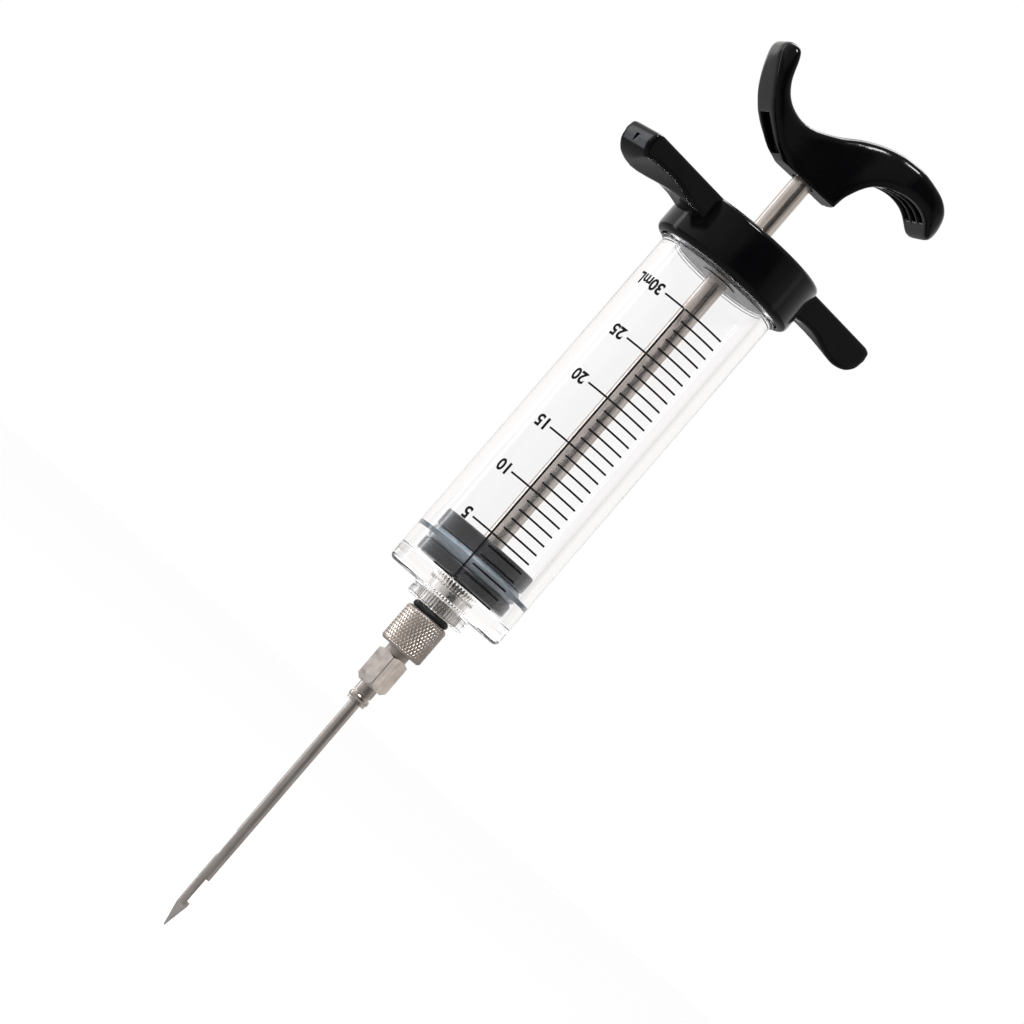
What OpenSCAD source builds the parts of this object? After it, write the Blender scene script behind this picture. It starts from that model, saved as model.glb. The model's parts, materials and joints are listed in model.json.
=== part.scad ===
// Meat injector: a clear 30 mL barrel with a printed scale, a two-wing finger cap,
// a plunger with an S-shaped handle, and a screw-on needle with side openings.
// Units are millimetres. The barrel axis is Z, the needle points down, and Z = 0 is the
// piston's front face with the plunger pushed in.

/* [Barrel] */
// Barrel outside diameter
barrel_d = 28.6; // [26:0.1:32]
// Bore diameter
bore_d = 23.15; // [20:0.1:24]
// Height of the tube's top
tube_h = 89; // [86:0.5:92]
// Thickness of the barrel floor
floor_t = 4.3; // [3:0.1:6]
// Outlet spigot diameter
spigot_d = 14; // [12:0.5:16]
// Distance from the piston's rest position to the end of the outlet spigot
spigot_end = 8; // [7:0.5:9]

/* [Scale] */
// Capacity marks, in millilitres
marks = 30; // [10:5:30]
// Height of one millilitre in the bore
ml_pitch = 2.376; // [2:0.001:2.39]
// Height of the 0 mL line
scale_zero = -0.4; // [-0.6:0.1:0]
// Width of a printed line
line_w = 0.42; // [0.2:0.01:0.6]
// Direction that the printed scale faces, in degrees from +X
scale_facing = -125.7; // [-180:0.1:180]

/* [Finger cap] */
// Diameter of the cap ring
cap_d = 34.2; // [34:0.1:38]
// Height of the cap ring
cap_h = 11.6; // [11:0.1:12]
// Length over the two finger wings
wing_span = 77.2; // [70:0.2:84]
// Width of a finger wing
wing_w = 10.7; // [9:0.1:12]

/* [Plunger] */
// Rod diameter
rod_d = 4.7; // [4.2:0.1:5]
// Diameter of the two piston discs
disc_d = 22.65; // [22.2:0.01:22.7]
// Thickness of the front disc
front_t = 3; // [3:0.1:3.5]
// Thickness of the rear disc
rear_t = 3.9; // [3:0.1:4.5]
// Gap between the discs, which holds the seal
seal_gap = 3.3; // [3:0.1:4]

/* [Handle] */
// Height of the handle's base, with the plunger pushed in
handle_z = 107.9; // [104:0.1:110]
// Front-to-back depth of the handle at its widest
handle_depth = 18.4; // [16:0.2:20]
// Direction of the handle's raised wing, in degrees from +X
handle_yaw = -21.7; // [-90:0.1:90]

/* [Needle] */
// Needle tube outside diameter
needle_d = 2.5; // [2.2:0.1:3]
// Distance from the piston's rest position to the needle's tip
tip_z = 91.6; // [85:0.1:100]
// Side of the square needle hub
hub_square = 5.3; // [5:0.1:5.6]
// Diameter of the knurled adaptor
adaptor_d = 10; // [9:0.1:11]

/* [Hidden] */
$fn = 96;

eps = 0.01;          // overlap of cutting bodies beyond a face
run_fit = 0.05;      // radial running clearance of a shaft in its hole
arc_steps = 6;       // segments in a quarter-round edge

// Barrel
barrel_r = barrel_d / 2;
bore_r = bore_d / 2;
spigot_r = spigot_d / 2;
barrel_edge = 1.2;
spigot_edge = 0.5;
outlet_r = 1.5;
collar_r = barrel_r + 0.6;
collar_z = 80.9;
collar_t = 0.9;
thread_r = barrel_r + 0.6;
floor_z = -0.8;
thread_z = 83.2;
thread_pitch = 2.5;
thread_turns = 2;
thread_root_w = 1.3;
thread_crest_w = 0.6;

// Outlet insert, moulded into the floor and spigot
insert_r = 3.65;
insert_top = -0.4;
insert_groove_r = 3.2;
insert_groove_z = 2.5;
insert_groove_h = 1.2;
insert_teeth = 36;
insert_tooth = 0.22;
insert_bore_r = 2.25;
insert_bore_top = -1.9;

// Scale
ink = 0.04;
ink_gap = 0.05;      // degrees between two printed lines that meet
long_tick_from = -27;
short_tick = [-1.6, 36];
spine_at = -6;
long_every = 5;

// Cap and rod guide
cap_r = cap_d / 2;
cap_z = 81.5;
cap_top = cap_z + cap_h;
cap_bore_r = thread_r + 0.3;
cap_roof = 90.4;
cap_lower_edge = 1.5;
cap_upper_edge = 1;
rod_r = rod_d / 2;
rod_hole_r = rod_r + run_fit;
roof_hole_r = rod_r + 0.4;
guide_r = bore_r - 0.2;
guide_z = 81.5;
guide_collar_r = 4;
guide_collar_z = 81.3;
guide_flange_r = 13.9;
guide_groove = [4.4, 9.3];
guide_groove_z = 84.4;

// Finger wing seen from the side: distance from the axis, and height below the cap's top
wing_root = 13;
wing_underside = [
    [38.3, -2.4], [37.6, -5], [35.4, -6.9], [31.6, -7.6], [28, -7], [24.4, -6.1],
    [20.6, -6], [17, -6.5], [wing_root, -6.9]
];
wing_tilted = [
    [wing_root, -8], [18.6, -7.1], [22.3, -6.7], [27.2, -5.95], [31, -5.95], [34.6, -6.35], [40, -7.6]
];
wing_reversed = [for (i = [len(wing_tilted) - 1 : -1 : 0]) wing_tilted[i]];
wing_tilt = 17;
wing_scale = wing_span / 76.8;
wing_mark = [2.3, 2, 0.3];

// Piston
disc_r = disc_d / 2;
disc_edge = 0.5;
core_r = 7.2;
seal_r = bore_r - 0.02;
seal_lip = 1;
seal_shoulder_r = bore_r - 0.75;
rear_z = front_t + seal_gap;
rod_foot_r = 2;
nut_af = 7;
nut_h = 1.5;
nut_z = 0;
washer_r = 4.4;
washer_t = 0.4;
nut_recess_r = 4.6;
rod_top = handle_z + 8.2;

// Handle outline: distance along the handle from the rod, and height above its base
handle_top = [
    [-23.2, 17.6], [-22.1, 19.4], [-19.9, 19.2], [-18.5, 16.9], [-17.5, 14.1], [-16, 11.6],
    [-14, 9.9], [-11.5, 9], [-8.7, 8.8], [-5.5, 9.6], [-1, 11.8], [3.1, 14.6], [7.1, 16.6],
    [11, 17.7], [15, 17.8], [19, 17.2], [22.8, 16.1], [26, 14], [27.7, 10.5]
];
handle_under = [
    [27.7, 10.5], [27.3, 8.2], [25.8, 7.4], [24.2, 8.9], [22.2, 10.6], [19.2, 11.5], [16.4, 11.3],
    [13.7, 10.4], [11.2, 9.1], [9.5, 6.9], [8.4, 4.4], [7.7, 2.05], [7.4, 0]
];
handle_outer = [
    [-6.2, 0], [-9.2, 0.8], [-12.2, 2.7], [-15.9, 5.5], [-18.8, 9], [-21.2, 13], [-22.7, 16],
    [-23.2, 17.6]
];
// Handle seen from above: distance along the handle, and half its depth there out of 9.2
handle_half = [
    [-23.5, 2.4], [-22.8, 5], [-20, 7.2], [-16, 7], [-12, 6.1], [-8, 4.9], [-4, 4.2], [0, 4],
    [4, 4.2], [8, 5.2], [12, 7.2], [16, 8.8], [20, 9.2], [24, 8.6], [26.8, 6], [27.9, 2.8]
];
handle_scale = handle_depth / 18.4;
curve_steps = 3;
handle_mouth_r = 2.8;
insert_hold_r = 2.95;
insert_hold_h = 7.6;
insert_hold_z = handle_z + 1;
rod_end_r = 2;
rod_shoulder = 0.9;
wing_pocket = [12.8, 23.4];
wing_pocket_top = 14.4;
wing_pocket_w = 12;
rib_t = 1.2;
wing_ribs = 2;
hook_pocket_w = 6.8;
hook_pocket_depth = 2;

// Gasket, adaptor and needle, all measured down from the barrel floor
gasket_r = 4.4;
gasket_t = 1.5;
adaptor_r = adaptor_d / 2;
adaptor_z = spigot_end + gasket_t;
adaptor_h = 9;
adaptor_edge = 0.5;
stub_r = insert_bore_r - run_fit;
stub_top = 2.6;
neck_r = 2.65;
hub_z = 19.9;
socket_r = 1.75;
socket_top = 13.3;
feed_r = 0.9;
stem_r = socket_r - run_fit;
washer_gap = 0.9;
hub_corner_r = 3.65;
hub_flat_end = 28;
hub_cone = 0.9;
hub_neck_r = 2.15;
bead_z = 30.1;
bead_r = 2.38;
hub_end = 32.4;
hub_corner_at = scale_facing - 45;
needle_r = needle_d / 2;
needle_bore_r = 0.85;
tube_top = 24;
shank_r = 1.05;
point_z = 86;
plug_h = 0.9;
plug_r = needle_bore_r - 0.01;
tip_r = 0.15;
slot_z = 73.8;
slot_h = 6.1;
slot_w = 1.1;
notch_z = 85;
notch_h = 5.9;
notch_depth = 0.75;

// Point at t on the smooth curve through b and c, with neighbours a and d
function curve_point(a, b, c, d, t) =
    0.5 * (2 * b + (c - a) * t + (2 * a - 5 * b + 4 * c - d) * t * t
        + (3 * b - a - 3 * c + d) * t * t * t);

// Smooth curve through all the points of p
function curve(p) = [
    for (i = [0 : len(p) - 2], s = [0 : curve_steps - 1])
        curve_point(p[max(i - 1, 0)], p[i], p[i + 1], p[min(i + 2, len(p) - 1)], s / curve_steps),
    p[len(p) - 1]
];

// Quarter-round edge of radius r about c, from angle a to a + 90 or a - 90
function edge(c, r, a, turn = 90) = [
    for (s = [0 : arc_steps]) c + r * [cos(a + turn * s / arc_steps), sin(a + turn * s / arc_steps)]
];

// A disc with rounded outer edges above and below
module soft_disc(r, z, h, low, high) {
    rotate_extrude()
        polygon(concat(
            [[0, z]],
            edge([r - low, z + low], low, -90),
            edge([r - high, z + h - high], high, 0),
            [[0, z + h]]
        ));
}

// A round hole of radius r from z0 to z1
module hole(r, z0, z1) {
    translate([0, 0, z0])
        cylinder(r = r, h = z1 - z0);
}

// Outside shape of the insert, which its seat in the barrel repeats
module insert_body() {
    hole(insert_r, -spigot_end, insert_top);
}

module barrel() {
    color([0.86, 0.9, 0.95, 0.35])
    difference() {
        union() {
            soft_disc(barrel_r, floor_z - floor_t, tube_h + floor_t - floor_z, barrel_edge, 0.4);
            soft_disc(spigot_r, -spigot_end, spigot_end - 1, spigot_edge, 0);
            soft_disc(collar_r, collar_z, collar_t, 0.4, 0.4);
            for (i = [0 : thread_turns - 1])
                thread_ring(thread_z + i * thread_pitch);
        }
        hole(bore_r, floor_z, tube_h + eps);
        insert_body();
    }
}

// One turn of the cap thread, as a ring round the tube
module thread_ring(z) {
    rotate_extrude()
        polygon([
            [bore_r + 1, z - thread_root_w / 2],
            [barrel_r - eps, z - thread_root_w / 2],
            [thread_r, z - thread_crest_w / 2],
            [thread_r, z + thread_crest_w / 2],
            [barrel_r - eps, z + thread_root_w / 2],
            [bore_r + 1, z + thread_root_w / 2]
        ]);
}

// A printed line round the barrel between two angles, at height z
module printed_arc(from, to, z, w) {
    rotate([0, 0, scale_facing + from])
        rotate_extrude(angle = to - from)
            translate([barrel_r, z - w / 2])
                square([ink, w]);
}

// Height of the line that marks n millilitres
function mark_z(n) = scale_zero + n * ml_pitch;

module scale_print() {
    spine_half = line_w / barrel_r * 90 / PI;
    color([0.05, 0.05, 0.06]) {
        for (n = [0 : marks])
            printed_arc(short_tick[0], short_tick[1], mark_z(n), line_w);
        for (n = [0 : long_every : marks]) {
            printed_arc(long_tick_from, spine_at - spine_half - ink_gap, mark_z(n), line_w);
            printed_arc(spine_at + spine_half + ink_gap, short_tick[0] - ink_gap, mark_z(n), line_w);
        }
        printed_arc(spine_at - spine_half, spine_at + spine_half, mark_z(marks / 2), marks * ml_pitch);
    }
}

module outlet_insert() {
    color([0.72, 0.68, 0.64])
    difference() {
        insert_body();
        for (i = [0 : insert_teeth - 1])
            rotate([0, 0, i * 360 / insert_teeth])
                translate([insert_r, 0, -spigot_end - eps])
                    rotate([0, 0, 45])
                        translate([-insert_tooth / 2, -insert_tooth / 2, 0])
                            cube([insert_tooth, insert_tooth, spigot_end]);
        difference() {
            hole(insert_r + 1, -insert_groove_z - insert_groove_h, -insert_groove_z);
            hole(insert_groove_r, -insert_groove_z - insert_groove_h - eps, -insert_groove_z + eps);
        }
        hole(insert_bore_r, -spigot_end - eps, insert_bore_top);
        hole(outlet_r, insert_bore_top - eps, insert_top + eps);
    }
}

module rod_guide() {
    color([0.1, 0.1, 0.11])
    difference() {
        union() {
            hole(guide_collar_r, guide_collar_z, guide_z + 1);
            soft_disc(guide_r, guide_z, tube_h - guide_z, 0.4, 0);
            soft_disc(guide_flange_r, tube_h, cap_roof - tube_h, 0.2, 0.2);
        }
        hole(rod_hole_r, guide_collar_z - eps, cap_roof + eps);
        difference() {
            hole(guide_groove[1], guide_groove_z, cap_roof + eps);
            hole(guide_groove[0], guide_groove_z - eps, cap_roof + 2 * eps);
        }
    }
}

// One finger wing along +X, with its top flush with the cap's top
module finger_wing() {
    translate([0, wing_w / 2, cap_top])
        rotate([90, 0, 0])
            linear_extrude(height = wing_w)
                scale([wing_scale, 1])
                    polygon(concat([[wing_root, 0], [36.6, 0], [38, -0.8]], curve(wing_underside)));
}

// What lies above the wing's slanted underside
module wing_upper() {
    translate([0, 0, cap_top])
        rotate([90 + wing_tilt, 0, 0])
            translate([0, 0, -wing_w])
                linear_extrude(height = 2 * wing_w)
                    polygon(concat([[wing_root, 6], [40, 6]], curve(wing_reversed)));
}

// A finger wing with its underside sloping across its width
module slanted_wing() {
    intersection() {
        finger_wing();
        wing_upper();
    }
}

module finger_cap() {
    color([0.04, 0.04, 0.045])
    difference() {
        union() {
            soft_disc(cap_r, cap_z, cap_h, cap_lower_edge, cap_upper_edge);
            slanted_wing();
            rotate([0, 0, 180])
                slanted_wing();
        }
        hole(cap_bore_r, cap_z - eps, cap_roof);
        hole(roof_hole_r, cap_roof - eps, cap_top + eps);
        for (side = [-1, 1])
            translate([side * (wing_span / 2 - wing_mark[2] / 2), 0, cap_top - 3.4])
                cube([wing_mark[2] + 0.2, wing_mark[0], wing_mark[1]], center = true);
    }
}

module plunger_rod() {
    color([0.74, 0.7, 0.66]) {
        hole(rod_foot_r, nut_z, rear_z + rear_t);
        hole(rod_r, rear_z + rear_t, handle_z + rod_shoulder);
        hole(rod_end_r, handle_z + rod_shoulder - 1, rod_top);
    }
}

// The handle's solid outline, standing on its base at z = 0
module handle_block() {
    intersection() {
        translate([0, handle_depth / 2, 0])
            rotate([90, 0, 0])
                linear_extrude(height = handle_depth)
                    polygon(concat(curve(handle_top), curve(handle_under), curve(handle_outer)));
        handle_plan();
    }
}

// The handle's outline from above, with a waist at the rod
module handle_plan() {
    back = curve(handle_half);
    front = [for (i = [len(back) - 1 : -1 : 0]) [back[i][0], -back[i][1]]];
    linear_extrude(height = 30)
        scale([1, handle_scale])
            polygon(concat(back, front));
}

// Pockets under the handle's wing, between walls and ribs
module wing_pockets() {
    bays = wing_ribs + 1;
    bay = (wing_pocket_w - wing_ribs * rib_t) / bays;
    for (i = [0 : bays - 1])
        translate([wing_pocket[0], i * (bay + rib_t) - wing_pocket_w / 2, 4])
            cube([wing_pocket[1] - wing_pocket[0], bay, wing_pocket_top - 4]);
}

// Shallow pocket in the lower outer face of the handle's hook
module hook_pocket() {
    translate([-11.9, 0, 2.8])
        rotate([0, 37, 0])
            translate([-4.6, -hook_pocket_w / 2, -2])
                cube([8.6, hook_pocket_w, 2 + hook_pocket_depth]);
}

module handle() {
    color([0.04, 0.04, 0.045])
    translate([0, 0, handle_z])
        rotate([0, 0, handle_yaw])
            difference() {
                handle_block();
                wing_pockets();
                hook_pocket();
                hole(handle_mouth_r, -eps, insert_hold_z - handle_z);
                hole(insert_hold_r, insert_hold_z - handle_z, insert_hold_z - handle_z + insert_hold_h);
            }
}

module handle_insert() {
    color([0.72, 0.62, 0.4])
    difference() {
        hole(insert_hold_r, insert_hold_z, insert_hold_z + insert_hold_h);
        hole(rod_end_r, insert_hold_z - eps, rod_top);
    }
}

module rear_disc() {
    color([0.07, 0.07, 0.08])
    difference() {
        soft_disc(disc_r, rear_z, rear_t, disc_edge, disc_edge);
        hole(rod_foot_r, rear_z - eps, rear_z + rear_t + eps);
    }
}

module front_disc() {
    color([0.07, 0.07, 0.08])
    difference() {
        soft_disc(disc_r, 0, front_t, disc_edge, disc_edge);
        hole(rod_foot_r, -eps, front_t + eps);
        hole(nut_recess_r, -eps, nut_z + nut_h + washer_t);
    }
}

module piston_core() {
    color([0.1, 0.1, 0.11])
    difference() {
        hole(core_r, front_t, rear_z);
        hole(rod_foot_r, front_t - eps, rear_z + eps);
    }
}

module piston_seal() {
    low = front_t + run_fit;
    high = rear_z - run_fit;
    middle = (low + high) / 2;
    inner = core_r + run_fit;
    color([0.42, 0.5, 0.6])
    rotate_extrude()
        polygon([
            [inner, low],
            [seal_shoulder_r, low],
            [seal_r - 0.12, middle - seal_lip / 2 - 0.25],
            [seal_r, middle - seal_lip / 2],
            [seal_r, middle + seal_lip / 2],
            [seal_r - 0.12, middle + seal_lip / 2 + 0.25],
            [seal_shoulder_r, high],
            [inner, high]
        ]);
}

module piston_washer() {
    color([0.75, 0.73, 0.7])
    difference() {
        hole(washer_r, nut_z + nut_h, nut_z + nut_h + washer_t);
        hole(rod_foot_r, nut_z, nut_z + nut_h + washer_t + eps);
    }
}

module piston_nut() {
    color([0.75, 0.73, 0.7])
    difference() {
        translate([0, 0, nut_z])
            cylinder(d = nut_af / cos(30), h = nut_h, $fn = 6);
        hole(rod_foot_r, nut_z - eps, nut_z + nut_h + eps);
    }
}

module outlet_gasket() {
    color([0.03, 0.03, 0.03])
    difference() {
        soft_disc(gasket_r, -adaptor_z, gasket_t, 0.6, 0.6);
        hole(stub_r + run_fit, -adaptor_z - eps, -spigot_end + eps);
    }
}

module needle_adaptor() {
    color([0.72, 0.68, 0.64])
    difference() {
        union() {
            hole(stub_r, -adaptor_z - 1, -stub_top);
            soft_disc(adaptor_r, -adaptor_z - adaptor_h, adaptor_h, adaptor_edge, adaptor_edge);
            hole(neck_r, -hub_z, -adaptor_z - 1);
        }
        hole(feed_r, -adaptor_z - adaptor_h, -stub_top + eps);
        hole(socket_r, -hub_z - eps, -socket_top);
    }
}

module hub_washer() {
    color([0.03, 0.03, 0.03])
    difference() {
        hole(socket_r - run_fit, -socket_top - washer_gap, -socket_top);
        hole(feed_r - 0.1, -socket_top - washer_gap - eps, -socket_top + eps);
    }
}

// The square grip with its corners turned round and its ends coned
module hub_grip() {
    h = hub_flat_end - hub_z;
    intersection() {
        rotate([0, 0, hub_corner_at])
            translate([-hub_square / 2, -hub_square / 2, -hub_flat_end])
                cube([hub_square, hub_square, h]);
        rotate_extrude()
            polygon([
                [0, -hub_flat_end],
                [hub_corner_r - hub_cone, -hub_flat_end],
                [hub_corner_r, -hub_flat_end + hub_cone],
                [hub_corner_r, -hub_z - hub_cone / 2],
                [hub_corner_r - hub_cone, -hub_z],
                [0, -hub_z]
            ]);
    }
}

module needle_hub() {
    color([0.72, 0.68, 0.64])
    difference() {
        union() {
            hole(stem_r, -hub_z - 1, -socket_top - washer_gap);
            hub_grip();
            hole(hub_neck_r, -bead_z, -hub_flat_end + 1);
            hole(hub_neck_r - 0.25, -bead_z - 0.3, -bead_z);
            soft_disc(bead_r, -hub_end + 0.7, hub_end - bead_z - 1, 0.4, 0.4);
            hole(hub_neck_r, -hub_end, -hub_end + 1);
        }
        hole(shank_r, -hub_end - eps, -tube_top);
        hole(feed_r - 0.1, -tube_top - eps, -socket_top - washer_gap + eps);
    }
}

module needle_tube() {
    color([0.74, 0.71, 0.68])
    difference() {
        union() {
            hole(needle_r, -point_z, -hub_end);
            hole(shank_r, -hub_end - 1, -tube_top);
        }
        hole(needle_bore_r, -point_z - eps, -tube_top + eps);
        rotate([0, 0, scale_facing - 90])
            translate([0, -slot_w / 2, -slot_z])
                cube([needle_r + 1, slot_w, slot_h]);
        rotate([0, 0, scale_facing + 90])
            translate([needle_r - notch_depth, -needle_r, -notch_z])
                cube([needle_r, needle_d, notch_h]);
    }
}

module needle_point() {
    color([0.74, 0.71, 0.68]) {
        hole(plug_r, -point_z - 0.2, -point_z + plug_h);
        translate([0, 0, -tip_z])
            cylinder(r1 = tip_r, r2 = needle_r, h = tip_z - point_z);
    }
}

barrel();
scale_print();
outlet_insert();
rod_guide();
finger_cap();
plunger_rod();
handle();
handle_insert();
rear_disc();
front_disc();
piston_core();
piston_seal();
piston_washer();
piston_nut();
outlet_gasket();
needle_adaptor();
hub_washer();
needle_hub();
needle_tube();
needle_point();
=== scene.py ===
"""Meat injector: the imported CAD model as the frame, with finished meshes and materials around it.

Lengths in this script are millimetres until they reach a mesh, a light or the camera, where MM turns
them into metres. The barrel axis is Z, the needle points down, and Z = 0 is the barrel's inner floor.
"""
import json
import math

import bmesh
import bpy
from mathutils import Matrix, Vector


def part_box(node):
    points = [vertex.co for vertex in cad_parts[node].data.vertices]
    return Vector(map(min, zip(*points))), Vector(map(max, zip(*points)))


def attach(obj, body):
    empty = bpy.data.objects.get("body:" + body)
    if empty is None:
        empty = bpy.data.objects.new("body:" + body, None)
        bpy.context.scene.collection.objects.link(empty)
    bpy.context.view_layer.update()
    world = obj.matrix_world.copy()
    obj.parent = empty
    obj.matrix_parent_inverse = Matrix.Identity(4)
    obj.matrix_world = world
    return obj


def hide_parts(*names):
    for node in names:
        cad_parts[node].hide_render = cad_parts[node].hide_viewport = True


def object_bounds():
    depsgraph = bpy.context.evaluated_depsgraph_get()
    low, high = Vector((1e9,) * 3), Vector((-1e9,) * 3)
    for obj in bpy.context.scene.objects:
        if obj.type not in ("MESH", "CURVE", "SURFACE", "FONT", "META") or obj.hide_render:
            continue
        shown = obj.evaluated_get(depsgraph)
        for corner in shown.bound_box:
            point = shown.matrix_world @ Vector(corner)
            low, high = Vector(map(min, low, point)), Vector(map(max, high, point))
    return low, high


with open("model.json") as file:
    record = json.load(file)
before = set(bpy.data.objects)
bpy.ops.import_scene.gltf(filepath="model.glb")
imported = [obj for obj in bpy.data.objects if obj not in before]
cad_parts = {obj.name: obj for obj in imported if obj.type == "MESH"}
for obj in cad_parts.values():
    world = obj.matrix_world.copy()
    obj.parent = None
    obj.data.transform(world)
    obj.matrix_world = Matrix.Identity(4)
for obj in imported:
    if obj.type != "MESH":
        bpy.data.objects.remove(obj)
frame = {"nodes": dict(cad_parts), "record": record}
CAD_LOW, CAD_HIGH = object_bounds()
NODES = frame["nodes"]
MM = 0.001

# ---------------------------------------------------------------- sizes from the frame


def span(node):
    """Lowest and highest corner of a CAD node, in millimetres."""
    low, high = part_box(node)
    return low / MM, high / MM


def radius_of(node):
    return span(node)[1].x


MOUNTS = {m["name"]: m for m in frame["record"]["mounts"]}
BARREL_R = MOUNTS["barrel_grip"]["dims"]["r_mm"]
BORE_R = radius_of("piston_seal") + 0.02
COLLAR_R = radius_of("barrel")
BARREL_TOP = span("barrel")[1].z
INSERT_R = radius_of("outlet_insert")
CAP_LOW, CAP_HIGH = span("finger_cap")
HANDLE_Z = span("handle")[0].z
ROD_R = radius_of("plunger_rod")
INK_R = BARREL_R + 0.045   # just outside the printed film
LINE_HALF = 0.21           # half the width of a printed line
SCALE_ZERO = span("scale_print")[0].z + LINE_HALF
ML = (span("scale_print")[1].z - LINE_HALF - SCALE_ZERO) / 30
INSERT_LOW, INSERT_TOP = span("outlet_insert")[0].z, span("outlet_insert")[1].z

# Directions round the axis, in degrees from +X
CAMERA_AZIMUTH = -35.7
SCALE_FACING = CAMERA_AZIMUTH - 90
HANDLE_YAW = CAMERA_AZIMUTH + 14

# ---------------------------------------------------------------- mesh helpers


def piece(name, bm, node_material, body, smooth_angle=35):
    """Turns a bmesh in millimetres into a piece in metres, shaded smooth up to an angle."""
    bmesh.ops.scale(bm, vec=(MM, MM, MM), verts=bm.verts)
    bmesh.ops.recalc_face_normals(bm, faces=bm.faces)
    mesh = bpy.data.meshes.new(name)
    bm.to_mesh(mesh)
    bm.free()
    made = bpy.data.objects.new(name, mesh)
    bpy.context.scene.collection.objects.link(made)
    made.data.materials.append(node_material)
    shade(made, smooth_angle)
    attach(made, body)
    return made


def shade(made, smooth_angle):
    """Smooth shading, with edges sharper than the angle kept crisp."""
    mesh = made.data
    bm = bmesh.new()
    bm.from_mesh(mesh)
    limit = math.radians(smooth_angle)
    for face in bm.faces:
        face.smooth = True
    for edge in bm.edges:
        edge.smooth = len(edge.link_faces) == 2 and edge.calc_face_angle(0) < limit
    bm.to_mesh(mesh)
    bm.free()


def fillet(corners, steps=6):
    """Closed outline with its corners rounded. Each corner is (x, y, radius)."""
    out = []
    n = len(corners)
    for i, (x, y, r) in enumerate(corners):
        here = Vector((x, y))
        if r <= 0:
            out.append(here)
            continue
        before = (Vector(corners[i - 1][:2]) - here).normalized()
        after = (Vector(corners[(i + 1) % n][:2]) - here).normalized()
        half = before.angle(after) / 2
        reach = r / math.tan(half)
        centre = here + (before + after).normalized() * (r / math.sin(half))
        start = here + before * reach - centre
        end = here + after * reach - centre
        turn = start.angle_signed(end)
        for s in range(steps + 1):
            angle = -turn * s / steps
            c, d = math.cos(angle), math.sin(angle)
            out.append(centre + Vector((start.x * c - start.y * d, start.x * d + start.y * c)))
    return out


def lathe(outline, segments=192):
    """Solid of revolution about Z from a closed (radius, z) outline."""
    bm = bmesh.new()
    rings = []
    for r, z in outline:
        if abs(r) < 1e-6:
            rings.append([bm.verts.new((0, 0, z))])
            continue
        rings.append([
            bm.verts.new((r * math.cos(a), r * math.sin(a), z))
            for a in (math.tau * k / segments for k in range(segments))
        ])
    for i, ring in enumerate(rings):
        other = rings[(i + 1) % len(rings)]
        if len(ring) == 1 and len(other) == 1:
            continue
        for k in range(segments):
            j = (k + 1) % segments
            if len(ring) == 1:
                bm.faces.new((ring[0], other[j], other[k]))
            elif len(other) == 1:
                bm.faces.new((ring[k], ring[j], other[0]))
            else:
                bm.faces.new((ring[k], ring[j], other[j], other[k]))
    return bm


def turned(corners, segments=192, steps=6):
    """Lathe of an outline whose corners carry their own rounding."""
    return lathe([(p.x, p.y) for p in fillet(corners, steps)], segments)


def curve_through(points, steps=10):
    """Smooth curve through all the points."""
    out = []
    last = len(points) - 1
    for i in range(last):
        a, b, c, d = (Vector(points[min(max(k, 0), last)]) for k in (i - 1, i, i + 1, i + 2))
        for s in range(steps):
            t = s / steps
            out.append(0.5 * (
                2 * b + (c - a) * t + (2 * a - 5 * b + 4 * c - d) * t ** 2
                + (3 * b - a - 3 * c + d) * t ** 3
            ))
    out.append(Vector(points[last]))
    return out


def slab(outline, depth, matrix=Matrix.Identity(4)):
    """Prism of an (x, z) outline, centred on y = 0."""
    bm = bmesh.new()
    near = [bm.verts.new((p[0], -depth / 2, p[1])) for p in outline]
    far = [bm.verts.new((p[0], depth / 2, p[1])) for p in outline]
    bm.faces.new(near)
    bm.faces.new(list(reversed(far)))
    for i in range(len(outline)):
        j = (i + 1) % len(outline)
        bm.faces.new((near[j], near[i], far[i], far[j]))
    bmesh.ops.recalc_face_normals(bm, faces=bm.faces)
    bm.transform(matrix)
    return bm


def block(low, high, matrix=Matrix.Identity(4)):
    """Box between two corners."""
    bm = bmesh.new()
    bmesh.ops.create_cube(bm, size=1)
    size = Vector(high) - Vector(low)
    middle = (Vector(high) + Vector(low)) / 2
    bm.transform(matrix @ Matrix.Translation(middle) @ Matrix.Diagonal((*size, 1)))
    return bm


def scratch(bm, name="scratch"):
    """Throw-away object that holds a bmesh while modifiers work on it."""
    mesh = bpy.data.meshes.new(name)
    bm.to_mesh(mesh)
    bm.free()
    made = bpy.data.objects.new(name, mesh)
    bpy.context.scene.collection.objects.link(made)
    return made


def applied(made):
    """The evaluated mesh of an object as a bmesh; the object is removed."""
    bpy.context.view_layer.update()
    depsgraph = bpy.context.evaluated_depsgraph_get()
    mesh = bpy.data.meshes.new_from_object(made.evaluated_get(depsgraph))
    bm = bmesh.new()
    bm.from_mesh(mesh)
    bpy.data.meshes.remove(mesh)
    bpy.data.objects.remove(made)
    return bm


def softened(bm, voxel, passes):
    """Remeshes evenly and smooths, so that every edge turns round."""
    made = scratch(bm)
    remesh = made.modifiers.new("remesh", "REMESH")
    remesh.mode = "VOXEL"
    remesh.voxel_size = voxel
    smooth = made.modifiers.new("smooth", "SMOOTH")
    smooth.factor = 0.5
    smooth.iterations = passes
    return applied(made)


def combined(bm, other, operation):
    """Boolean of two bmeshes."""
    made, tool = scratch(bm), scratch(other, "tool")
    boolean = made.modifiers.new("boolean", "BOOLEAN")
    boolean.operation = operation
    boolean.solver = "EXACT"
    boolean.object = tool
    out = applied(made)
    bpy.data.objects.remove(tool)
    return out


# ---------------------------------------------------------------- materials


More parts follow.
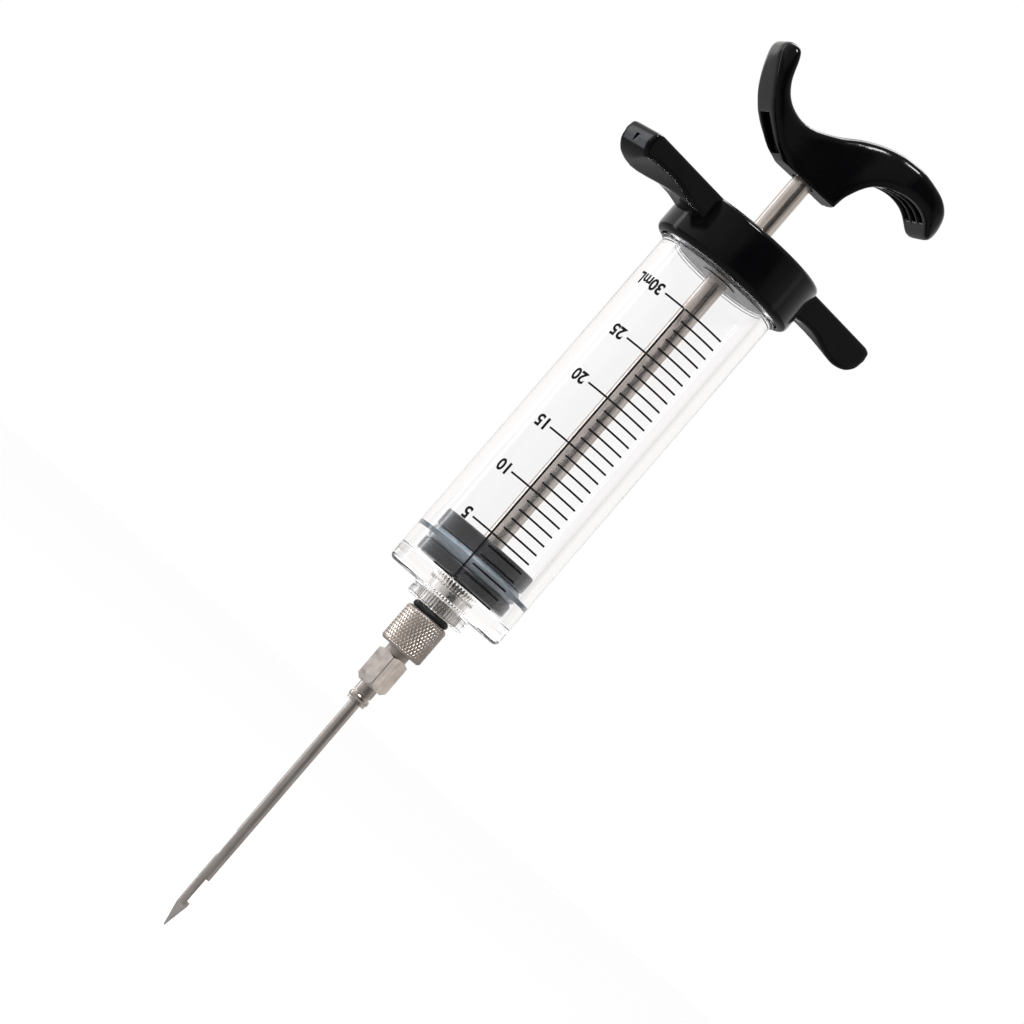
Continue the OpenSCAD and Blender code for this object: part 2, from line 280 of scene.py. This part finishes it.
class Graph:
    """Small helper that builds one node material."""

    def __init__(self, name):
        self.material = bpy.data.materials.new(name)
        self.material.use_nodes = True
        self.tree = self.material.node_tree
        self.shader = self.tree.nodes["Principled BSDF"]
        self.place = self.add("ShaderNodeTexCoord").outputs["Object"]

    def add(self, kind, **values):
        node = self.tree.nodes.new(kind)
        for key, value in values.items():
            setattr(node, key, value)
        return node

    def link(self, source, target):
        self.tree.links.new(source, target)

    def noise(self, size_mm, detail=3, stretch=(1, 1, 1)):
        """Noise whose grain is about size_mm, stretched along the axes."""
        mapping = self.add("ShaderNodeMapping")
        mapping.inputs["Scale"].default_value = [1 / (size_mm * MM * s) for s in stretch]
        self.link(self.place, mapping.inputs["Vector"])
        noise = self.add("ShaderNodeTexNoise")
        noise.inputs["Scale"].default_value = 1
        noise.inputs["Detail"].default_value = detail
        self.link(mapping.outputs["Vector"], noise.inputs["Vector"])
        return noise.outputs["Fac"]

    def between(self, factor, low, high, start=0.35, end=0.65):
        """Maps a 0-1 pattern to a value between low and high."""
        node = self.add("ShaderNodeMapRange")
        self.link(factor, node.inputs["Value"])
        node.inputs["From Min"].default_value = start
        node.inputs["From Max"].default_value = end
        node.inputs["To Min"].default_value = low
        node.inputs["To Max"].default_value = high
        return node.outputs["Result"]

    def tint(self, factor, low, high):
        """Colour that runs from low to high with a pattern."""
        ramp = self.add("ShaderNodeValToRGB")
        ramp.color_ramp.elements[0].position = 0.35
        ramp.color_ramp.elements[0].color = (*low, 1)
        ramp.color_ramp.elements[1].position = 0.65
        ramp.color_ramp.elements[1].color = (*high, 1)
        self.link(factor, ramp.inputs["Fac"])
        return ramp.outputs["Color"]

    def bump(self, height, depth_mm, strength=1.0, under=None):
        node = self.add("ShaderNodeBump")
        node.inputs["Distance"].default_value = depth_mm * MM
        node.inputs["Strength"].default_value = strength
        self.link(height, node.inputs["Height"])
        if under is not None:
            self.link(under, node.inputs["Normal"])
        return node.outputs["Normal"]

    def set(self, **values):
        for key, value in values.items():
            self.shader.inputs[key.replace("_", " ")].default_value = value

    def drive(self, **sockets):
        for key, socket in sockets.items():
            self.link(socket, self.shader.inputs[key.replace("_", " ")])


def gloss_black():
    """Glossy black moulding: fine orange peel, faint handling marks."""
    g = Graph("gloss_black")
    g.drive(Base_Color=g.tint(g.noise(14), (0.0006, 0.0006, 0.0008), (0.0012, 0.0012, 0.0014)))
    smudges = g.noise(3.5, 5)
    g.drive(Roughness=g.between(smudges, 0.09, 0.16))
    peel = g.bump(g.noise(1.6, 2), 0.012)
    g.drive(Normal=g.bump(g.noise(0.25, 2), 0.0025, 1, peel))
    g.set(IOR=1.5, Specular_IOR_Level=0.14)
    return g.material


def satin_black(name="piston_black"):
    """Moulded piston and guide plastic, less polished than the grips."""
    g = Graph(name)
    g.drive(Base_Color=g.tint(g.noise(5), (0.003, 0.003, 0.0036), (0.006, 0.006, 0.007)))
    g.drive(Roughness=g.between(g.noise(1.2, 4), 0.3, 0.42))
    g.drive(Normal=g.bump(g.noise(0.4, 2), 0.0012))
    g.set(IOR=1.5, Specular_IOR_Level=0.3)
    return g.material


def metal(name, dull, bright, rough, grain_mm, stretch, depth_mm, waviness_mm=0.0):
    """Metal with a drawn or turned grain, stretched along the given axes, and a hand-polished waviness."""
    g = Graph(name)
    g.set(Metallic=1.0)
    g.drive(Base_Color=g.tint(g.noise(6, 4), dull, bright))
    grain = g.noise(grain_mm, 3, stretch)
    g.drive(Roughness=g.between(grain, *rough))
    normal = g.bump(grain, depth_mm)
    if waviness_mm:
        normal = g.bump(g.noise(3.2, 1), waviness_mm, 1, normal)
    g.drive(Normal=normal)
    return g.material


def clear_plastic():
    """Polished clear moulding that lets the lamps through, with faint polishing marks."""
    g = Graph("clear_plastic")
    g.set(Transmission_Weight=1.0, IOR=1.49)
    g.set(Base_Color=(0.98, 0.98, 0.985, 1), Specular_Tint=(0.5, 0.5, 0.5, 1))
    g.drive(Roughness=g.between(g.noise(2.5, 5), 0.0, 0.025))
    g.drive(Normal=g.bump(g.noise(6, 2, (1, 1, 4)), 0.01))
    path = g.add("ShaderNodeLightPath")
    passing = g.add("ShaderNodeBsdfTransparent")
    passing.inputs["Color"].default_value = (0.93, 0.935, 0.95, 1)
    mix = g.add("ShaderNodeMixShader")
    g.link(path.outputs["Is Shadow Ray"], mix.inputs["Fac"])
    g.link(g.shader.outputs["BSDF"], mix.inputs[1])
    g.link(passing.outputs["BSDF"], mix.inputs[2])
    output = g.tree.nodes["Material Output"]
    g.link(mix.outputs["Shader"], output.inputs["Surface"])
    return g.material


def silicone():
    """Translucent blue-grey silicone."""
    g = Graph("silicone")
    g.drive(Base_Color=g.tint(g.noise(2.5), (0.065, 0.08, 0.092), (0.09, 0.107, 0.12)))
    g.drive(Roughness=g.between(g.noise(0.8), 0.32, 0.45))
    g.drive(Normal=g.bump(g.noise(0.2, 2), 0.004))
    g.set(Subsurface_Weight=0.35, Subsurface_Scale=0.002)
    return g.material


def rubber():
    """Black gasket rubber."""
    g = Graph("black_rubber")
    g.drive(Base_Color=g.tint(g.noise(1.5), (0.003, 0.003, 0.003), (0.007, 0.007, 0.007)))
    g.drive(Roughness=g.between(g.noise(0.5), 0.42, 0.6))
    g.drive(Normal=g.bump(g.noise(0.12, 3), 0.01))
    g.set(Specular_IOR_Level=0.25)
    return g.material


def ink():
    """Screen-printed ink: even, slightly porous black."""
    g = Graph("print_ink")
    g.drive(Base_Color=g.tint(g.noise(0.4), (0.0015, 0.0015, 0.002), (0.004, 0.004, 0.0045)))
    g.drive(Roughness=g.between(g.noise(0.3), 0.4, 0.6))
    g.drive(Normal=g.bump(g.noise(0.1, 2), 0.003))
    g.set(Specular_IOR_Level=0.1)
    return g.material


# Grain directions: how far the grain is stretched along x, y and z
ALONG = (1, 1, 60)
AROUND = (30, 30, 1)
ACROSS = (30, 1, 30)

BLACK = gloss_black()
PISTON = satin_black()
STEEL = metal(
    "drawn_steel", (0.50, 0.45, 0.415), (0.58, 0.535, 0.50), (0.16, 0.26), 0.12, ALONG, 0.0012)
KNURLED = metal(
    "knurled_nickel", (0.40, 0.355, 0.32), (0.49, 0.44, 0.40), (0.4, 0.5), 0.1, AROUND, 0.0012)
BRIGHT = metal(
    "bright_nickel", (0.66, 0.64, 0.62), (0.78, 0.76, 0.74), (0.12, 0.2), 0.1, AROUND, 0.0012)
HUB = metal(
    "milled_nickel", (0.50, 0.45, 0.41), (0.62, 0.57, 0.53), (0.14, 0.24), 0.16, ACROSS, 0.002, 0.1)
BRASS = metal(
    "turned_brass", (0.62, 0.44, 0.18), (0.72, 0.53, 0.24), (0.2, 0.32), 0.12, AROUND, 0.002)
CLEAR = clear_plastic()
SILICONE = silicone()
RUBBER = rubber()
INK = ink()


def finish_node(node, node_material):
    """Gives a CAD node its material."""
    made = NODES[node]
    made.data.materials.clear()
    made.data.materials.append(node_material)
    for face in made.data.polygons:
        face.material_index = 0


def soften_edges(node, width):
    """Small rounding on a CAD node's square edges."""
    bevel = NODES[node].modifiers.new("edge", "BEVEL")
    bevel.width = width * MM
    bevel.segments = 4
    bevel.limit_method = "ANGLE"
    bevel.angle_limit = math.radians(50)


# ---------------------------------------------------------------- barrel


def build_barrel():
    """Clear barrel: tube, floor, outlet spigot, collar and thread, hollow where the insert sits."""
    seat = INSERT_R - 0.55
    inner_floor, outer_floor = -0.8, -5.1
    collar_low, collar_high = 80.9, 81.8
    thread_rings = (85.7, 83.2)
    spigot_r = 7.0
    thread = []
    for z in thread_rings:
        thread += [
            (BARREL_R, z + 0.65, 0.1), (COLLAR_R, z + 0.3, 0.15),
            (COLLAR_R, z - 0.3, 0.15), (BARREL_R, z - 0.65, 0.1),
        ]
    outline = [
        (seat, inner_floor, 0),
        (BORE_R, inner_floor, 0.3),
        (BORE_R, BARREL_TOP, 0.25),
        (BARREL_R, BARREL_TOP, 0.35),
        *thread,
        (BARREL_R, collar_high, 0.1),
        (COLLAR_R, collar_high, 0.25),
        (COLLAR_R, collar_low, 0.25),
        (BARREL_R, collar_low, 0.1),
        (BARREL_R, outer_floor, 1.2),
        (spigot_r, outer_floor, 0.4),
        (spigot_r, INSERT_LOW, 0.6),
        (seat, INSERT_LOW, 0),
    ]
    made = piece("barrel_clear", turned(outline, 256), CLEAR, "barrel")
    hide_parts("barrel")


def ring_stack(rings):
    """Closed body from equally divided rings, joined in order and back to the first."""
    bm = bmesh.new()
    made = [[bm.verts.new(p) for p in ring] for ring in rings]
    count = len(made[0])
    for i, ring in enumerate(made):
        other = made[(i + 1) % len(made)]
        for k in range(count):
            j = (k + 1) % count
            bm.faces.new((ring[k], ring[j], other[j], other[k]))
    return bm


def ring_at(radius_at, z, count):
    out = []
    for k in range(count):
        a = math.tau * k / count
        out.append((radius_at(k) * math.cos(a), radius_at(k) * math.sin(a), z))
    return out


def build_insert():
    """Outlet insert with two toothed bands and a plain groove between them."""
    teeth, per_tooth, depth = 36, 10, 0.42
    count = teeth * per_tooth
    groove_high, groove_low, groove_r = -2.5, -3.7, 3.2
    bore_r, outlet_r, bore_top = 2.25, 1.5, -1.9

    def toothed(shrink):
        def radius(k):
            return INSERT_R - shrink - depth * max(0.0, 1 - 1.8 * triangle(k / per_tooth))
        return radius

    def plain(radius):
        return lambda k: radius

    rings = [ring_at(plain(outlet_r), INSERT_TOP, count), ring_at(toothed(0.15), INSERT_TOP, count)]
    rings += [ring_at(toothed(0), z, count) for z in (INSERT_TOP - 0.15, groove_high + 0.1)]
    rings += [ring_at(plain(groove_r), z, count) for z in (groove_high, groove_low)]
    rings += [ring_at(toothed(0), z, count) for z in (groove_low - 0.1, INSERT_LOW + 0.15)]
    rings += [
        ring_at(plain(INSERT_R - 0.5), INSERT_LOW, count), ring_at(plain(bore_r), INSERT_LOW, count),
        ring_at(plain(bore_r), bore_top, count), ring_at(plain(outlet_r), bore_top, count),
    ]
    made = piece("insert_knurled", ring_stack(rings), BRIGHT, "barrel", 25)
    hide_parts("outlet_insert")


LABEL_START = -30.3   # degrees from the direction the scale faces to a label's first letter
LABEL_H = 2.8
LABEL_WEIGHT = 0.034  # how far each letter's outline is thickened, as a part of its size
LONG_EDGE = 0.8       # letter edges longer than this are divided, so that they follow the barrel


def numeral(label, height, z):
    """One printed label wrapped on the barrel, read with the needle up."""
    font = bpy.data.curves.new("label", "FONT")
    font.body = label
    font.size = 1
    font.offset = LABEL_WEIGHT
    font.resolution_u = 6
    text = bpy.data.objects.new("label", font)
    bpy.context.scene.collection.objects.link(text)
    bm = applied(text)
    xs = [v.co.x for v in bm.verts]
    ys = [v.co.y for v in bm.verts]
    scale = height / (max(ys) - min(ys))
    left, low = min(xs), (max(ys) + min(ys)) / 2
    for v in bm.verts:
        v.co.x = (v.co.x - left) * scale
        v.co.y = (v.co.y - low) * scale
    bmesh.ops.remove_doubles(bm, verts=bm.verts, dist=1e-5)
    bmesh.ops.triangulate(bm, faces=bm.faces)
    long_edges = [e for e in bm.edges if e.calc_length() > LONG_EDGE]
    bmesh.ops.subdivide_edges(bm, edges=long_edges, cuts=2, use_grid_fill=False)
    bmesh.ops.triangulate(bm, faces=bm.faces)
    first = math.radians(SCALE_FACING + LABEL_START)
    for v in bm.verts:
        angle = first - v.co.x / BARREL_R
        v.co = Vector((INK_R * math.cos(angle), INK_R * math.sin(angle), z - v.co.y))
    return bm


def build_numerals():
    """Labels at every fifth mark, as one printed piece."""
    joined = bmesh.new()
    for ml in range(5, 31, 5):
        label = f"{ml}mL" if ml == 30 else f"{ml}"
        part = numeral(label, LABEL_H, SCALE_ZERO + ml * ML)
        mesh = bpy.data.meshes.new("label")
        part.to_mesh(mesh)
        part.free()
        joined.from_mesh(mesh)
        bpy.data.meshes.remove(mesh)
    bmesh.ops.reverse_faces(joined, faces=joined.faces)
    piece("scale_numerals", joined, INK, "barrel")


# ---------------------------------------------------------------- finger cap

CAP_Z = CAP_LOW.z
CAP_TOP = CAP_HIGH.z
CAP_R = CAP_HIGH.y
WING_END = CAP_HIGH.x
WING_W = 10.7
WING_ROOT = 12.0   # inner end of a wing, inside the ring's wall
WING_TILT = 17     # slope across a wing's underside, in degrees


def wing_upper():
    """What lies above a wing's slanted underside."""
    under = curve_through([
        (WING_ROOT - 1, -8), (18.6, -7.1), (22.3, -6.7), (27.2, -5.95),
        (31, -5.95), (34.6, -6.35), (40, -7.6),
    ])
    outline = [Vector((40, 8)), Vector((WING_ROOT - 1, 8))] + under
    tilt = Matrix.Translation((0, 0, CAP_TOP)) @ Matrix.Rotation(math.radians(WING_TILT), 4, "X")
    return slab(outline, 3 * WING_W, tilt)


def wing(turn):
    """One finger wing, with a waisted underside that slopes across it, and soft edges."""
    underside = curve_through([
        (WING_END, -2.4), (37.8, -5), (35.6, -6.9), (31.8, -7.6), (28.2, -7), (24.6, -6.1),
        (20.6, -6), (17, -6.5), (WING_ROOT, -6.9),
    ])
    top = [Vector((WING_ROOT, 0)), Vector((WING_END - 1.6, 0)), Vector((WING_END - 0.3, -0.5))]
    outline = top + underside
    bm = slab([(p.x, p.y + CAP_TOP) for p in outline], WING_W)
    bm = combined(bm, wing_upper(), "INTERSECT")
    bm = softened(bm, 0.3, 24)
    mark_deep, mark_half, mark_low, mark_high = 0.45, 0.75, 4.2, 2.4
    mark = block(
        (WING_END - mark_deep, -mark_half, CAP_TOP - mark_low),
        (WING_END + 0.5, mark_half, CAP_TOP - mark_high))
    bm = combined(bm, mark, "DIFFERENCE")
    bm.transform(Matrix.Rotation(turn, 4, "Z"))
    return bm


def build_cap():
    """Screw cap: ring with a roof, joined to its two finger wings."""
    inside_r = COLLAR_R + 0.3
    rod_hole_r = ROD_R + 0.4
    roof = span("rod_guide")[1].z
    ring = turned([
        (rod_hole_r, CAP_TOP, 0.3),
        (rod_hole_r, roof, 0.2),
        (inside_r, roof, 0.3),
        (inside_r, CAP_Z, 0.4),
        (CAP_R, CAP_Z, 1.5),
        (CAP_R, CAP_TOP, 1.1),
    ])
    for turn in (0, math.pi):
        ring = combined(ring, trimmed(wing(turn), inside_r), "UNION")
    made = piece("finger_cap_body", ring, BLACK, "cap", 38)
    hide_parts("finger_cap")


def trimmed(bm, inside_r):
    """Cuts a wing's root back to the middle of the ring wall."""
    wall = (inside_r + CAP_R) / 2
    core = turned([(0, CAP_Z - 5, 0), (wall, CAP_Z - 5, 0), (wall, CAP_TOP + 5, 0), (0, CAP_TOP + 5, 0)], 96)
    return combined(bm, core, "DIFFERENCE")


# ---------------------------------------------------------------- handle

HANDLE_OUTLINE_TOP = [
    (-23.2, 17.6), (-22.1, 19.4), (-19.9, 19.2), (-18.5, 16.9), (-17.5, 14.1), (-16, 11.6),
    (-14, 9.9), (-11.5, 9), (-8.7, 8.8), (-5.5, 9.6), (-1, 11.8), (3.1, 14.6), (7.1, 16.6),
    (11, 17.7), (15, 17.8), (19, 17.2), (22.8, 16.1), (26, 14), (27.7, 10.5),
]
HANDLE_OUTLINE_UNDER = [
    (27.7, 10.5), (27.3, 8.2), (25.8, 7.4), (24.2, 8.9), (22.2, 10.6), (19.2, 11.5), (16.4, 11.3),
    (13.7, 10.4), (11.2, 9.1), (9.5, 6.9), (8.4, 4.4), (7.7, 2.05), (7.4, -4),
]
HANDLE_OUTLINE_OUTER = [
    (-2.2, -4), (-6.2, -0.4), (-9.2, 0.8), (-12.2, 2.7), (-15.9, 5.5), (-18.8, 9), (-21.2, 13), (-22.7, 16),
    (-23.2, 17.6),
]
HANDLE_HALF = [
    (-23.5, 2.4), (-22.8, 5), (-20, 7.2), (-16, 7), (-12, 6.1), (-8, 4.9), (-4, 4.2), (0, 4),
    (4, 4.2), (8, 5.2), (12, 7.2), (16, 8.8), (20, 9.2), (24, 8.6), (26.8, 6), (27.9, 2.8),
]
POCKET = (12.8, 23.4)    # from and to, along the wing
POCKET_W = 12
POCKET_ROOF = 14.4
POCKET_BAYS = 3
RIB = 1.2
HOOK_POCKET_AT = (-11.9, 0, 2.8)
HOOK_POCKET_TILT = 37
HOOK_POCKET_LOW, HOOK_POCKET_HIGH = (-4.6, -3.4, -2), (4, 3.4, 2)
MOUTH_R, MOUTH_H = 2.8, 1.0   # recess round the rod in the handle's base


def handle_plan():
    """Prism of the handle's outline from above, with a waist at the rod."""
    back = curve_through(HANDLE_HALF, 6)
    outline = back + [Vector((p.x, -p.y)) for p in reversed(back)]
    return slab(outline, 60, Matrix.Rotation(math.radians(90), 4, "X"))


def build_handle():
    """S-shaped handle with soft edges, ribbed pockets under the wing and one in the hook's back."""
    outline = curve_through(HANDLE_OUTLINE_TOP)[:-1]
    outline += curve_through(HANDLE_OUTLINE_UNDER)
    outline += curve_through(HANDLE_OUTLINE_OUTER)[:-1]
    bm = slab(outline, 20)
    bm = combined(bm, handle_plan(), "INTERSECT")
    bm = softened(bm, 0.4, 80)
    bm = combined(bm, block((-40, -20, -9), (40, 20, 0)), "DIFFERENCE")
    bay = (POCKET_W - 2 * RIB) / POCKET_BAYS
    for i in range(POCKET_BAYS):
        y = -POCKET_W / 2 + i * (bay + RIB)
        bm = combined(bm, block((POCKET[0], y, 4), (POCKET[1], y + bay, POCKET_ROOF)), "DIFFERENCE")
    tilt = Matrix.Rotation(math.radians(HOOK_POCKET_TILT), 4, "Y")
    hook_pocket = block(HOOK_POCKET_LOW, HOOK_POCKET_HIGH, Matrix.Translation(HOOK_POCKET_AT) @ tilt)
    bm = combined(bm, hook_pocket, "DIFFERENCE")
    bm = softened(bm, 0.27, 5)
    seat = turned([(0, -2, 0), (MOUTH_R, -2, 0), (MOUTH_R, MOUTH_H, 0.2), (0, MOUTH_H, 0)], 96)
    bm = combined(bm, seat, "DIFFERENCE")
    yaw = Matrix.Rotation(math.radians(HANDLE_YAW), 4, "Z")
    bm.transform(Matrix.Translation((0, 0, HANDLE_Z)) @ yaw)
    made = piece("handle_body", bm, BLACK, "plunger", 50)
    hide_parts("handle")


# ---------------------------------------------------------------- piston, gasket, adaptor


def build_seal():
    """Silicone ring with a crowned contact band."""
    low, high = span("piston_seal")
    inner = 7.25
    middle = (low.z + high.z) / 2
    made = piece("seal_ring", turned([
        (inner, low.z, 0.2), (BORE_R - 0.8, low.z, 0.5), (BORE_R - 0.3, middle - 0.9, 0.4),
        (BORE_R + 0.012, middle - 0.5, 0.05), (BORE_R + 0.012, middle + 0.5, 0.05),
        (BORE_R - 0.3, middle + 0.9, 0.4), (BORE_R - 0.8, high.z, 0.5), (inner, high.z, 0.2),
    ]), SILICONE, "seal")
    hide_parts("piston_seal")


def build_gasket():
    """Rounded rubber ring between the spigot and the adaptor."""
    low, high = span("outlet_gasket")
    inner = 2.3
    made = piece("gasket_ring", turned([
        (inner, low.z, 0.3), (high.x, low.z, 0.7), (high.x, high.z, 0.7), (inner, high.z, 0.3),
    ]), RUBBER, "gasket")
    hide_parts("outlet_gasket")


def triangle(t):
    """Triangle wave of period 1, from 0 to 1."""
    t = t % 1
    return 1 - abs(2 * t - 1)


def build_adaptor():
    """Knurled needle adaptor with its stub and neck."""
    low, high = span("needle_adaptor")
    top, foot, stub = -9.5, -18.5, high.z
    r = high.x
    teeth, depth, margin, helix = 40, 0.28, 0.45, 28
    columns, rows = teeth * 8, 110
    chamfer, end_r = 0.5, r - 0.55
    stub_r, neck_r, socket_r, socket_top, feed_r = 2.2, 2.65, 1.75, -13.3, 0.9
    steep = math.tan(math.radians(helix)) * teeth / (math.tau * r)

    def knurled(z):
        into = min(top - z, z - foot)
        cut = min(1.0, max(0.0, (into - 0.25) / 0.4))
        outer = r - chamfer * max(0.0, 1 - into / margin)

        def radius(k):
            u = teeth * k / columns
            v = (z - top) * steep
            main, cross = triangle(u + v), triangle(u - v)
            groove = max(1 - 1.7 * main, 0.7 * (1 - 1.9 * cross), 0.0)
            return outer - depth * cut * groove
        return radius

    def plain(*outline):
        return [ring_at(lambda k, radius=radius: radius, z, columns) for radius, z in outline]

    rings = plain((feed_r, stub), (stub_r, stub), (stub_r, top), (end_r, top))
    for i in range(1, rows):
        z = top + (foot - top) * i / rows
        rings.append(ring_at(knurled(z), z, columns))
    rings += plain(
        (end_r, foot), (neck_r, foot), (neck_r, low.z), (socket_r, low.z),
        (socket_r, socket_top), (feed_r, socket_top))
    made = piece("adaptor_knurled", ring_stack(rings), KNURLED, "adaptor", 30)
    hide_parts("needle_adaptor")


# ---------------------------------------------------------------- room, lights, camera

CAMERA_DISTANCE = 841
CAMERA_ELEVATION = -2.7
CAMERA_ROLL = 40.744
CAMERA_LENS = 145
AIM = Vector((0, 0, 17.9))
AIM_LEFT = 1.1               # how far the aim lies to the left of the axis
LAMPS_AIM = Vector((0, 0, 20))
FLOOR_Z = CAD_LOW.z / MM - 60


def direction(azimuth, elevation):
    """Unit vector towards an azimuth and elevation, in degrees. Azimuth 0 is towards -Y."""
    a, e = math.radians(azimuth), math.radians(elevation)
    return Vector((math.sin(a) * math.cos(e), -math.cos(a) * math.cos(e), math.sin(e)))


def build_camera():
    right = direction(CAMERA_AZIMUTH + 90, 0)
    back = direction(CAMERA_AZIMUTH, CAMERA_ELEVATION)
    up = back.cross(right)
    roll = math.radians(CAMERA_ROLL)
    cam_right = right * math.cos(roll) + up * math.sin(roll)
    cam_up = up * math.cos(roll) - right * math.sin(roll)
    data = bpy.data.cameras.new("camera")
    data.lens = CAMERA_LENS
    data.sensor_width = 36
    data.clip_end = 50
    made = bpy.data.objects.new("camera", data)
    bpy.context.scene.collection.objects.link(made)
    place = (AIM - right * AIM_LEFT + back * CAMERA_DISTANCE) * MM
    turn = Matrix((cam_right, cam_up, back)).transposed().to_4x4()
    made.matrix_world = Matrix.Translation(place) @ turn
    bpy.context.scene.camera = made


def softbox(name, azimuth, elevation, distance, width, height, power, colour=(1, 1, 1)):
    """Area light that faces the middle of the object."""
    back = direction(azimuth, elevation)
    data = bpy.data.lights.new(name, "AREA")
    data.shape = "RECTANGLE"
    data.size = width * MM
    data.size_y = height * MM
    data.energy = power
    data.color = colour
    made = bpy.data.objects.new(name, data)
    bpy.context.scene.collection.objects.link(made)
    made.location = (LAMPS_AIM + back * distance) * MM
    made.rotation_mode = "QUATERNION"
    made.rotation_quaternion = (-back).to_track_quat("-Z", "Y")


def build_floor():
    """Pale studio floor under the needle, darker where a polished face mirrors it."""
    bm = bmesh.new()
    half_size = 6000
    bmesh.ops.create_grid(bm, x_segments=1, y_segments=1, size=half_size)
    bm.transform(Matrix.Translation((0, 0, FLOOR_Z)))
    bmesh.ops.scale(bm, vec=(MM, MM, MM), verts=bm.verts)
    mesh = bpy.data.meshes.new("floor")
    bm.to_mesh(mesh)
    bm.free()
    g = Graph("floor_paper")
    g.set(Roughness=0.9)
    paper = g.tint(g.noise(400), (0.996, 0.996, 0.996), (1.0, 1.0, 1.0))
    shaded = g.add("ShaderNodeMix", data_type="RGBA")
    shaded.inputs["B"].default_value = (0.22, 0.22, 0.225, 1)
    path = g.add("ShaderNodeLightPath")
    only_mirrored = g.add("ShaderNodeMath", operation="SUBTRACT", use_clamp=True)
    g.link(path.outputs["Is Glossy Ray"], only_mirrored.inputs[0])
    g.link(path.outputs["Is Transmission Ray"], only_mirrored.inputs[1])
    g.link(only_mirrored.outputs["Value"], shaded.inputs["Factor"])
    g.link(paper, shaded.inputs["A"])
    g.drive(Base_Color=shaded.outputs["Result"])
    mesh.materials.append(g.material)
    made = bpy.data.objects.new("floor", mesh)
    bpy.context.scene.collection.objects.link(made)


def build_world():
    """Pale room that is darker on the camera's side where it shows in reflections and through plastic."""
    world = bpy.data.worlds.new("room")
    bpy.context.scene.world = world
    world.use_nodes = True
    tree = world.node_tree
    nodes, links = tree.nodes, tree.links
    background = nodes["Background"]
    place = nodes.new("ShaderNodeTexCoord").outputs["Generated"]

    def facing(azimuth, elevation):
        """How nearly a ray points towards a direction: 1 along it, 0 square to it."""
        dot = nodes.new("ShaderNodeVectorMath")
        dot.operation = "DOT_PRODUCT"
        links.new(place, dot.inputs[0])
        dot.inputs[1].default_value = direction(azimuth, elevation)
        return dot.outputs["Value"]

    def ramp_of(value, stops):
        """Colour that eases through the stops, each a position and a colour."""
        ramp = nodes.new("ShaderNodeValToRGB")
        ramp.color_ramp.interpolation = "EASE"
        for position, colour in stops[1:-1]:
            ramp.color_ramp.elements.new(position).color = (*colour, 1)
        elements = ramp.color_ramp.elements
        elements[0].position, elements[0].color = stops[0][0], (*stops[0][1], 1)
        elements[len(stops) - 1].position = stops[-1][0]
        elements[len(stops) - 1].color = (*stops[-1][1], 1)
        links.new(value, ramp.inputs["Fac"])
        return ramp.outputs["Color"]

    def mix(factor, a, b):
        """Blends two colours, each a constant or a socket."""
        node = nodes.new("ShaderNodeMix")
        node.data_type = "RGBA"
        links.new(factor, node.inputs["Factor"])
        for name, value in (("A", a), ("B", b)):
            if isinstance(value, tuple):
                node.inputs[name].default_value = (*value, 1)
            else:
                links.new(value, node.inputs[name])
        return node.outputs["Result"]

    def zone(azimuth, elevation, start, end):
        """1 near a direction, fading to 0 away from it."""
        node = nodes.new("ShaderNodeMapRange")
        links.new(facing(azimuth, elevation), node.inputs["Value"])
        node.inputs["From Min"].default_value = start
        node.inputs["From Max"].default_value = end
        return node.outputs["Result"]

    mirrored = ramp_of(facing(CAMERA_AZIMUTH + 22, 3), [
        (0.0, (0.66, 0.64, 0.62)), (0.5, (0.62, 0.60, 0.58)),
        (0.82, (0.42, 0.40, 0.385)), (0.94, (0.035, 0.035, 0.035)),
    ])
    mirrored = mix(zone(CAMERA_AZIMUTH + 202, 20, -0.05, 0.5), mirrored, (1.0, 0.99, 0.98))
    mirrored = mix(zone(CAMERA_AZIMUTH - 95, 8, 0.72, 0.97), mirrored, (1.12, 1.1, 1.1))
    through = ramp_of(facing(CAMERA_AZIMUTH + 180, 3), [
        (0.0, (0.42, 0.41, 0.405)), (0.35, (0.6, 0.595, 0.59)),
        (0.7, (0.88, 0.875, 0.87)), (0.88, (1, 1, 1)),
    ])
    path = nodes.new("ShaderNodeLightPath")
    seen = mix(path.outputs["Is Transmission Ray"], (1.0, 1.0, 1.0), through)
    seen = mix(path.outputs["Is Glossy Ray"], seen, mirrored)
    links.new(seen, background.inputs["Color"])
    background.inputs["Strength"].default_value = 1.0


# ---------------------------------------------------------------- the object

build_camera()
build_world()
build_floor()
softbox("key_above", CAMERA_AZIMUTH - 150, 62, 700, 500, 300, 5)
softbox("strip_left", CAMERA_AZIMUTH - 108, 6, 700, 90, 500, 0.45, (0.9, 0.92, 1))
softbox("lamp_front", CAMERA_AZIMUTH - 12, 40, 900, 260, 150, 8.5)
softbox("strip_right", CAMERA_AZIMUTH + 90, 2, 700, 110, 500, 0.08, (1, 0.97, 0.94))

build_barrel()
build_insert()
build_numerals()
build_cap()
build_handle()
build_seal()
build_gasket()
build_adaptor()

NODE_MATERIALS = {
    "scale_print": INK,
    "rod_guide": PISTON,
    "plunger_rod": STEEL,
    "handle_insert": BRASS,
    "rear_disc": PISTON,
    "front_disc": PISTON,
    "piston_core": PISTON,
    "piston_washer": STEEL,
    "piston_nut": STEEL,
    "hub_washer": RUBBER,
    "needle_hub": HUB,
    "needle_tube": STEEL,
    "needle_point": STEEL,
}
for node, node_material in NODE_MATERIALS.items():
    finish_node(node, node_material)
soften_edges("needle_hub", 0.5)

scene = bpy.context.scene
scene.view_settings.view_transform = "Standard"
